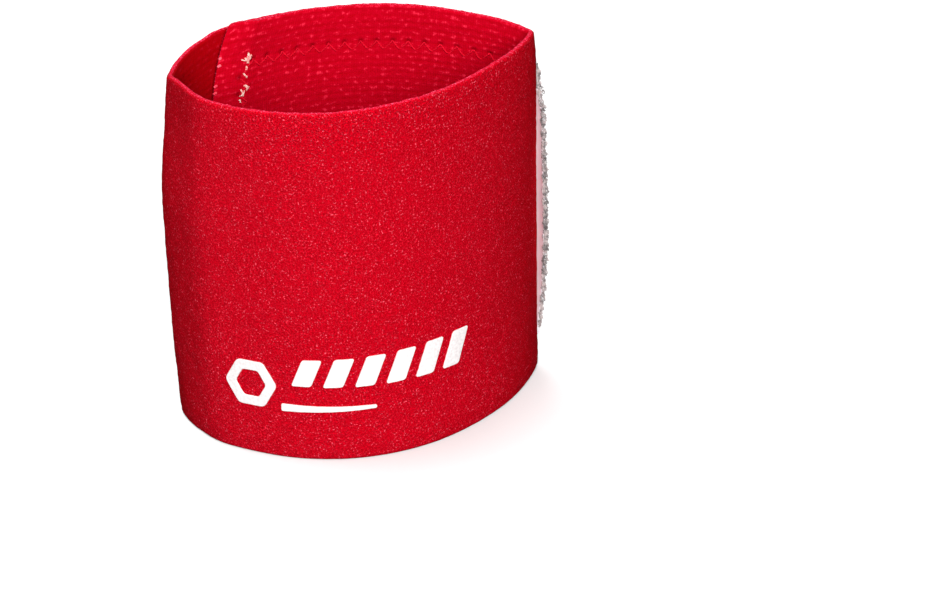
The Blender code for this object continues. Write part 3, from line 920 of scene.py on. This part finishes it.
def edge_tufts(rng, low, high):
    """Bunches of curled filament and loops that stand out past the tape's free edge."""
    paths = []
    height = low
    while height < high:
        reach = tape_reach(height)
        size = TUFT_SIZE[0] + TUFT_SIZE[1] * scallop(height) + TUFT_SIZE[2] * rng.random()
        for _ in range(6):
            turn, tilt = rng.uniform(0, 2 * math.pi), rng.uniform(-0.5, 0.5)
            out = rng.uniform(0.35, 1.0) * size
            centre = -reach + rng.uniform(0, 0.0003) - out * 0.7
            angle = np.linspace(0, rng.uniform(3.6, 5.6), 9) + turn
            round_d = centre + 0.5 * out * np.cos(angle)
            round_h = height + 0.5 * out * np.sin(angle) + tilt * out
            stack = rng.uniform(-0.0005, 0.0008) * (0.35 + 0.65 * scallop(height))
            deep = CONTACT_GAP + TAPE_THICKNESS * 0.5 + stack + 0.3 * out * np.sin(angle * 0.5)
            paths.append(tape_place(round_d, round_h, deep))
        height += TUFT_PITCH
    return paths


def add_hooks():
    rng = np.random.default_rng(21)
    low = TAPE_BOTTOM_MARGIN + SELVEDGE
    high = STRAP_WIDTH - TAPE_TOP_MARGIN - SELVEDGE
    strip = HOOK_STRIP - TAPE_PAST_FOLD
    field = hook_grid(rng, strip + HOOK_INSET, TAPE_START - HOOK_INSET, low, high, HOOK_PITCH)
    edge = hook_grid(rng, -TAPE_PAST_FOLD, strip, low, high, HOOK_PITCH * 0.85)
    material = hook_material()
    bent = strands("hook_field_filaments", field, HOOK_RADIUS, material, ends=(1.0, 0.8))
    free = strands("hook_edge_filaments", edge + edge_tufts(rng, low - 0.001, high + 0.0018),
                   HOOK_RADIUS * 1.2, material, ends=(1.0, 0.8))
    for piece, node in ((bent, "hook_field"), (free, "hook_edge_strip")):
        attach(piece, "hook_end")
        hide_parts(node)


# ---- the stitching ----
def thread_path(turns, inside):
    """Path of one zigzag row, pulled into the cloth at the turns on one side."""
    points = []
    for (d0, h0), (d1, h1) in zip(turns, turns[1:]):
        falling = h1 < h0 if abs(h1 - h0) > abs(d1 - d0) else d1 < d0
        for share in np.linspace(0, 1, 8, endpoint=False):
            lift = smooth_step(1.25 * (share if falling else 1 - share))
            points.append((d0 + (d1 - d0) * share, h0 + (h1 - h0) * share, lift))
    d, h, lift = np.array(points).T
    if inside:
        return hook_place(d, h, STRAP_THICKNESS + 0.00012 + (lift - 0.75) * 0.0004)
    return tape_place(d, h, CONTACT_GAP + TAPE_THICKNESS + (lift - 0.7) * 0.0003)


def add_stitches():
    rows = stitch_rows()
    red_thread, pale_thread = thread_material(), pale_thread_material()
    for name, turns in rows.items():
        for face in ("inside", "outside"):
            colour = red_thread if face == "inside" else pale_thread
            path = twisted(thread_path(turns, face == "inside"), THREAD_RADIUS, 0.0011)
            piece = strands(f"thread_{face}_{name}", path, THREAD_RADIUS * 0.55, colour)
            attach(piece, "hook_end")
            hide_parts(f"stitch_{face}_{name}")


def knot(rng, distance, height, size):
    """One strand of a small tangle of pale thread: a bent length through its middle."""
    angle = rng.uniform(0, math.pi)
    share = np.linspace(-1, 1, 15) * rng.uniform(0.7, 1.15)
    bow = rng.uniform(-0.5, 0.5) * (share ** 2 - 0.4)
    d = distance + size * (share * math.cos(angle) - bow * math.sin(angle))
    h = height + size * (share * math.sin(angle) + bow * math.cos(angle))
    return hook_place(d, h, STRAP_THICKNESS + 0.00002 + 0.00022 * (1 - share ** 2))


def add_knots():
    rng = np.random.default_rng(5)
    material = pale_thread_material()
    column = HOOK_END_REACH - SEAM_FROM_CUT
    # Height, distance beyond the column, size and number of strands of each tangle.
    upper = [(68, -0.2, 1.0, 6), (66, 0, 0.4, 1), (64.5, -0.2, 0.6, 3), (62, -0.7, 0.6, 4),
             (61, 0.3, 0.7, 3), (59.5, 0.6, 0.5, 1), (57, 0, 0.6, 1), (53.5, 0, 0.7, 1),
             (50, 0, 0.6, 1), (45, 0, 0.7, 1), (42, 0, 0.6, 1)]
    lower = [(35, 0, 0.6, 1), (31, 0, 0.7, 1), (27, 0, 0.6, 1), (22.5, 0, 0.7, 2),
             (19, 0, 0.7, 2), (15, 0, 0.8, 2), (12, 0, 1.0, 5)]
    for name, places in (("upper", upper), ("lower", lower)):
        paths = []
        for height, beyond, size, count in places:
            for _ in range(count):
                offset = rng.normal(0, 0.00012, 2)
                path = knot(rng, column + beyond * MM + offset[0], height * MM + offset[1], size * MM)
                paths += twisted(path, 0.00016, 0.0008)
        piece = strands(f"seam_tack_{name}", paths, TACK_RADIUS, material)
        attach(piece, "hook_end")
        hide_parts(f"back_tack_{name}")


def add_yarn_ends():
    """Cut ends of the rubber-cored yarns, which show as dots along each cut edge."""
    rng = np.random.default_rng(9)
    material = yarn_end_material()
    for name, place, cut, body in (("inner", hook_place, HOOK_END_REACH, "hook_end"),
                                   ("flap", band_place, -FLAP_END, "closing_flap")):
        toward = math.copysign(1.0, cut)
        paths = []
        heights = np.arange(RIB_PITCH, STRAP_WIDTH - RIB_PITCH / 2, RIB_PITCH)
        if name == "inner":
            heights = np.concatenate([heights[heights < 0.059], SHOWN_YARNS])
        for height in heights:
            draw = rng.random(4)
            if draw[0] < 0.55 and height not in SHOWN_YARNS:
                continue
            out = np.linspace(-0.0004, 0.0001 + 0.0003 * draw[1], 5)
            deep = STRAP_THICKNESS * (0.42 + 0.2 * draw[2]) + 0.15 * np.clip(out, 0, None)
            paths.append(place(cut + toward * out, height + (draw[3] - 0.5) * 0.0002 + 0 * out, deep))
        piece = strands(f"yarn_ends_{name}", paths, YARN_RADIUS, material, 7, (1.0, 0.75))
        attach(piece, body)


# ---- the printed mark ----
def inset_corners(corners, distance):
    """Corners of a convex polygon moved inwards, for corners given anticlockwise."""
    moved = []
    count = len(corners)
    for k in range(count):
        before, here, after = (np.array(corners[(k + j) % count]) for j in (-1, 0, 1))
        first, second = unit(here - before), unit(after - here)
        left_first, left_second = np.array([-first[1], first[0]]), np.array([-second[1], second[0]])
        bisector = left_first + left_second
        bisector *= distance / (bisector @ left_first)
        moved.append(here + bisector)
    return moved


def rounded_outline(corners, radius):
    """Polygon with each corner replaced by a short smooth curve."""
    points = []
    count = len(corners)
    for k in range(count):
        before, here, after = (np.array(corners[(k + j) % count], float) for j in (-1, 0, 1))
        a, b = here + unit(before - here) * radius, here + unit(after - here) * radius
        for share in np.linspace(0, 1, 6):
            points.append((1 - share) ** 2 * a + 2 * share * (1 - share) * here + share ** 2 * b)
    return np.array(points)


def film_levels(corners, radius):
    """Outlines of a film piece from its foot on the cloth to its flat top."""
    return [(rounded_outline(inset_corners(corners, inset), max(radius - inset * 0.5, 0.0001)), level)
            for inset, level in ((0.0, -0.4), (0.0, 0.55), (0.00005, 0.85), (0.00012, 1.0))]


def film_to_wall(flat):
    """Move flat (along, height, level) points on to the front wall."""
    along, height, level = np.asarray(flat).T
    rub = 0.00003 * cloth_noise(along, height, 0.0009, 31)
    return main_place(MARK_ARC - along, height, -(0.00006 + level * FILM_THICKNESS + rub))


def film_piece(name, corners, radius, node, hole=None):
    """Raised film with a rounded rim, cut into narrow strips so that it follows the wall."""
    mesh = bmesh.new()

    def stacked(shape, rounding):
        return [[mesh.verts.new((x, z, level)) for x, z in outline]
                for outline, level in film_levels(shape, rounding)]

    rings = stacked(corners, radius)
    inner = stacked(hole[::-1], radius * 0.6) if hole else []
    for stack in (rings, inner):
        for low, high in zip(stack, stack[1:]):
            for k in range(len(low)):
                j = (k + 1) % len(low)
                mesh.faces.new((low[k], low[j], high[j], high[k]))
    if hole:
        for ring, other in ((rings[0], inner[0]), (rings[-1], inner[-1])):
            facing = [other[-k % len(other)] for k in range(len(ring))]
            shift = min(range(len(ring)), key=lambda m: sum(
                (ring[k].co - facing[(k + m) % len(ring)].co).length for k in range(0, len(ring), 6)))
            for k in range(len(ring)):
                j = (k + 1) % len(ring)
                mesh.faces.new((ring[k], ring[j], facing[(j + shift) % len(ring)],
                                facing[(k + shift) % len(ring)]))
    else:
        mesh.faces.new(rings[0])
        mesh.faces.new(rings[-1])
    xs = [vertex.co.x for vertex in mesh.verts]
    for cut in np.arange(min(xs), max(xs), 0.0008)[1:]:
        bmesh.ops.bisect_plane(mesh, geom=mesh.verts[:] + mesh.edges[:] + mesh.faces[:],
                               plane_co=(cut, 0, 0), plane_no=(1, 0, 0))
    bmesh.ops.triangulate(mesh, faces=[face for face in mesh.faces if len(face.verts) > 4])
    mesh.verts.index_update()
    flat = np.array([tuple(vertex.co) for vertex in mesh.verts])
    faces = [tuple(vertex.index for vertex in face.verts) for face in mesh.faces]
    mesh.free()
    uv = flat[:, :2]
    piece = new_object(name, film_to_wall(flat), faces, [film_material()], uv=uv, smooth=False)
    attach(piece, "front")
    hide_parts(node)


def hexagon(middle, radius):
    turns = [k * math.pi / 3 for k in range(6)]
    return [(middle[0] + radius * math.cos(turn), middle[1] + radius * math.sin(turn)) for turn in turns]


def add_print():
    outer, inner = RING_RADII
    middle = (outer, MARK_HEIGHT - RING_DROP)
    film_piece("film_ring", hexagon(middle, outer), CORNER_RADII[0], "print_ring",
               hexagon(middle, inner))
    for index in range(BAR_COUNT):
        height = BAR_SIZE[1] * (1 + BAR_GROWTH * index)
        left = outer * 2 + BAR_GAP + BAR_SPACING * index
        low, high, lean = MARK_HEIGHT - height / 2, MARK_HEIGHT + height / 2, BAR_SLANT * height
        corners = [(left, low), (left + BAR_SIZE[0], low), (left + BAR_SIZE[0] + lean, high),
                   (left + lean, high)]
        film_piece(f"film_bar_{index + 1}", corners, CORNER_RADII[1], f"print_bar_{index + 1}")
    left, z = outer * 2 + RULE_GAP, MARK_HEIGHT - RULE_DROP
    length, height = RULE_SIZE
    tip = height / 2 * RULE_TAPER
    rule = [(left, z - height / 2), (left + length, z - tip), (left + length, z + tip),
            (left, z + height / 2)]
    film_piece("film_rule", rule, CORNER_RADII[2], "print_rule")


# ---- everything in place ----
add_camera()
add_studio()
add_strap()
add_tape()
add_hooks()
add_stitches()
add_knots()
add_yarn_ends()
add_print()
